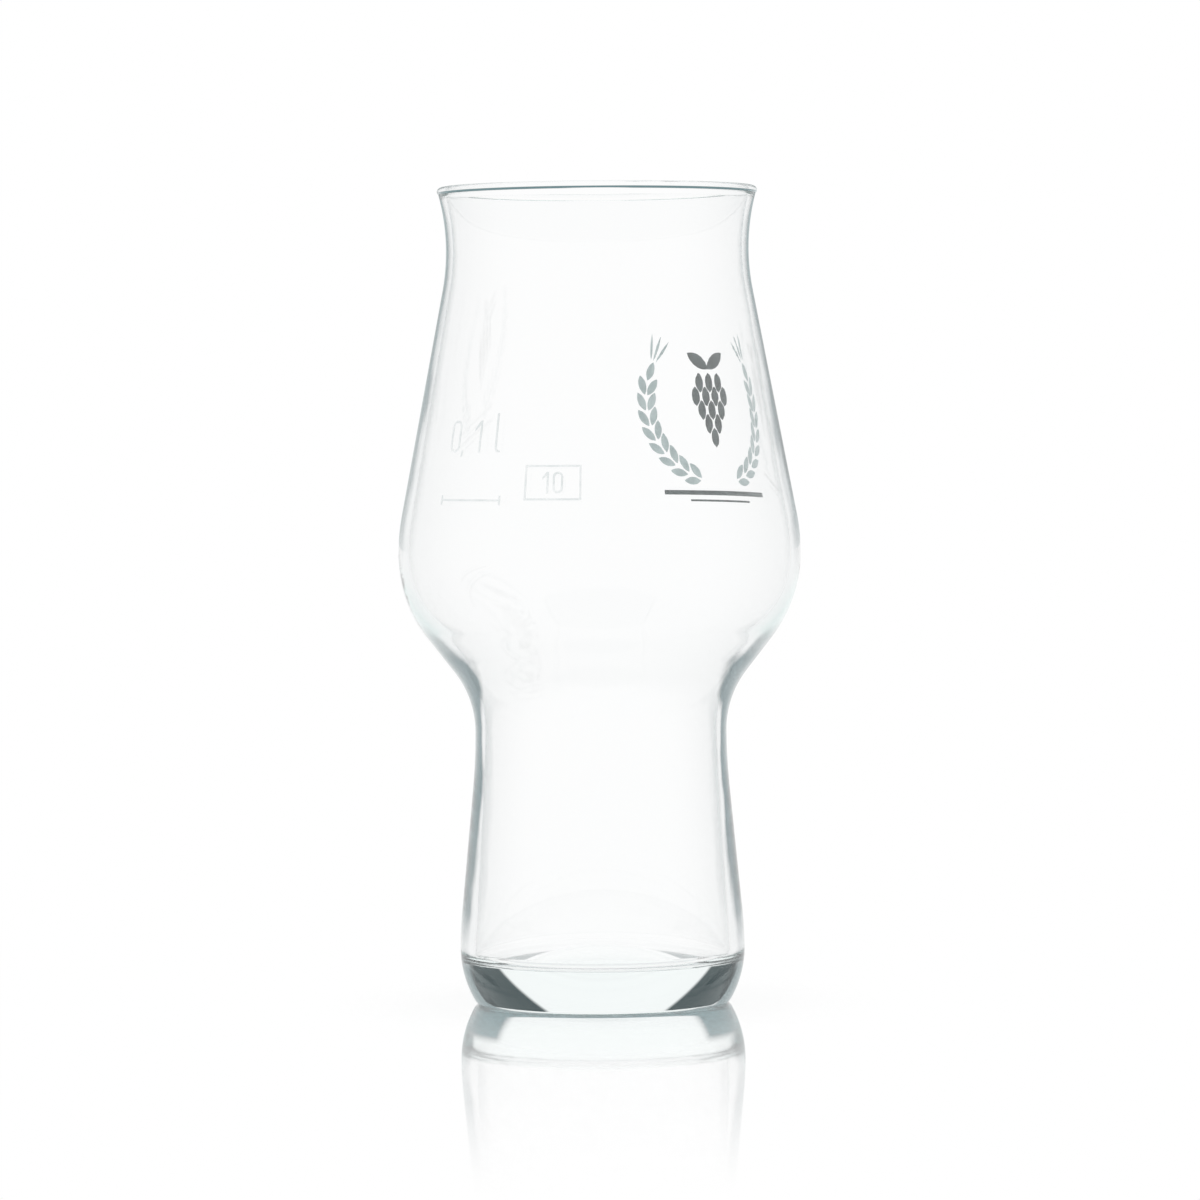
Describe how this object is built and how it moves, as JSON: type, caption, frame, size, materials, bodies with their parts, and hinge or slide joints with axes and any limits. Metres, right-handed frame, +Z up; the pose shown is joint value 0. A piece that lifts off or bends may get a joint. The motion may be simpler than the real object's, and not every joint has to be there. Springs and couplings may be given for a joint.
{
  "type": "tulip beer glass",
  "caption": "Clear tulip-shaped tasting glass with a thick base, waisted foot, bulging bowl, drawn-in neck, flared lip, printed fill line and enamel badge.",
  "frame": {"origin": "middle of the foot, on the surface that the glass stands on", "axes": "+Z up along the axis of the glass towards the lip, -Y towards the front, where the fill line is on the left"},
  "size_m": [0.0602, 0.0602, 0.122],
  "materials": {
    "clear_glass": "clear, fire polished",
    "pale_enamel": "fired print, satin",
    "dark_enamel": "fired print, satin",
    "grey_green_enamel": "fired print, satin"
  },
  "bodies": {
    "root": {"glass_vessel": "clear_glass", "fill_line": "pale_enamel", "capacity_frame": "pale_enamel", "badge_hop": "dark_enamel", "badge_left_ear": "grey_green_enamel", "badge_right_ear": "grey_green_enamel", "badge_upper_rule": "dark_enamel", "badge_lower_rule": "dark_enamel"}
  },
  "joints": []
}
